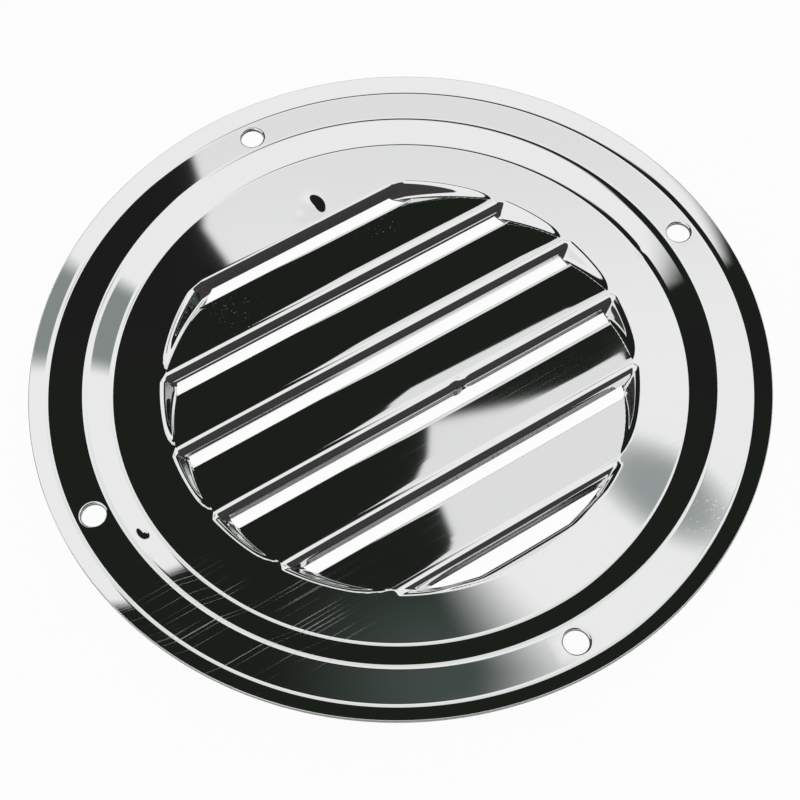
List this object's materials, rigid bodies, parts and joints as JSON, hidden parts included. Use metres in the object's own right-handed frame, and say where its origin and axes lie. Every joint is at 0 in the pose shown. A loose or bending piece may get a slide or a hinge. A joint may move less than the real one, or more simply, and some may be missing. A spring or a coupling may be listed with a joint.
{
  "type": "round louvred vent cover",
  "caption": "Round vent cover pressed from polished stainless sheet, with straight louvres, a stepped flange with screw holes and a turned rim.",
  "frame": {"origin": "centre of the screw circle, on the flange's upper face, which is its hollow side", "axes": "+Z out of the hollow side, towards the wall that the cover is screwed to; +X along the louvres; +Y from the last louvre to the first"},
  "size_m": [0.127, 0.127, 0.007],
  "materials": {
    "polished_steel": "mirror polished stainless steel"
  },
  "bodies": {
    "root": {"vent_cover": "polished_steel"}
  },
  "joints": []
}
